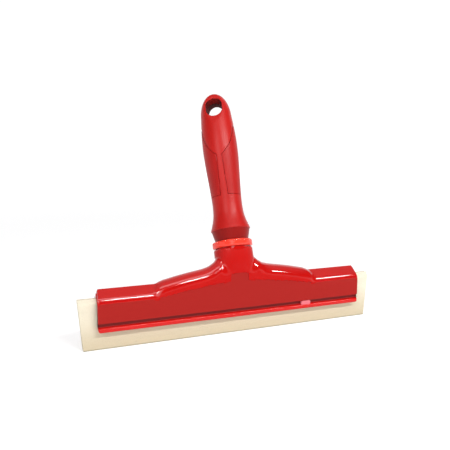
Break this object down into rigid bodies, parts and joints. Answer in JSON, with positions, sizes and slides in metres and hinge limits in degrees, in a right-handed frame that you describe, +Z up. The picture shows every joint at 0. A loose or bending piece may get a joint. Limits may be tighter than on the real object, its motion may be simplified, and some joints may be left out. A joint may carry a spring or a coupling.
{
  "type": "hand squeegee",
  "caption": "Hand squeegee with a double cellular rubber blade in a slide-in cassette, a moulded head with a raking threaded neck and a screw-in grip with a hanging hole.",
  "frame": {"origin": "middle of the blade's working edge, in the plane midway between its two strips", "axes": "+X along the blade, +Z up from the working edge into the head, -Y out of the flat face that carries the matte panel; the neck and grip rake back towards +Y"},
  "size_m": [0.2562, 0.0696, 0.1984],
  "materials": {
    "head_plastic": "glossy moulded, with a fine matte panel on the face",
    "ring_plastic": "glossy",
    "cassette_plastic": "glossy",
    "backing_plastic": "matte",
    "cellular_rubber": "fine closed cells, cut edges",
    "core_plastic": "satin",
    "grip_plastic": "satin",
    "panel_rubber": "matte, soft touch"
  },
  "bodies": {
    "head": {"head_frame": "head_plastic"},
    "cassette": {"cassette_channel": "cassette_plastic", "blade_backing": "backing_plastic", "blade_strip_front": "cellular_rubber", "blade_strip_rear": "cellular_rubber"},
    "ring": {"seal_ring": "ring_plastic"},
    "grip": {"grip_core": "core_plastic", "grip_sleeve": "grip_plastic", "grip_panel_left": "panel_rubber", "grip_panel_right": "panel_rubber"}
  },
  "joints": [
    {"name": "cassette_slide", "type": "slide", "parent": "head", "child": "cassette", "axis": [1, 0, 0], "range_m": [0, 0.245]},
    {"name": "ring_lift", "type": "slide", "parent": "head", "child": "ring", "axis": [0, 0.342, 0.9397], "range_m": [0, 0.0134]},
    {"name": "grip_unscrew", "type": "hinge", "parent": "ring", "child": "grip", "pos_m": [0, 0.01026, 0.07817], "axis": [0, 0.342, 0.9397], "range_deg": [0, 1080]}
  ],
  "couplings": [
    {"joint": "grip_unscrew", "follows": "ring_lift", "rad_per_m": 1396.3}
  ]
}
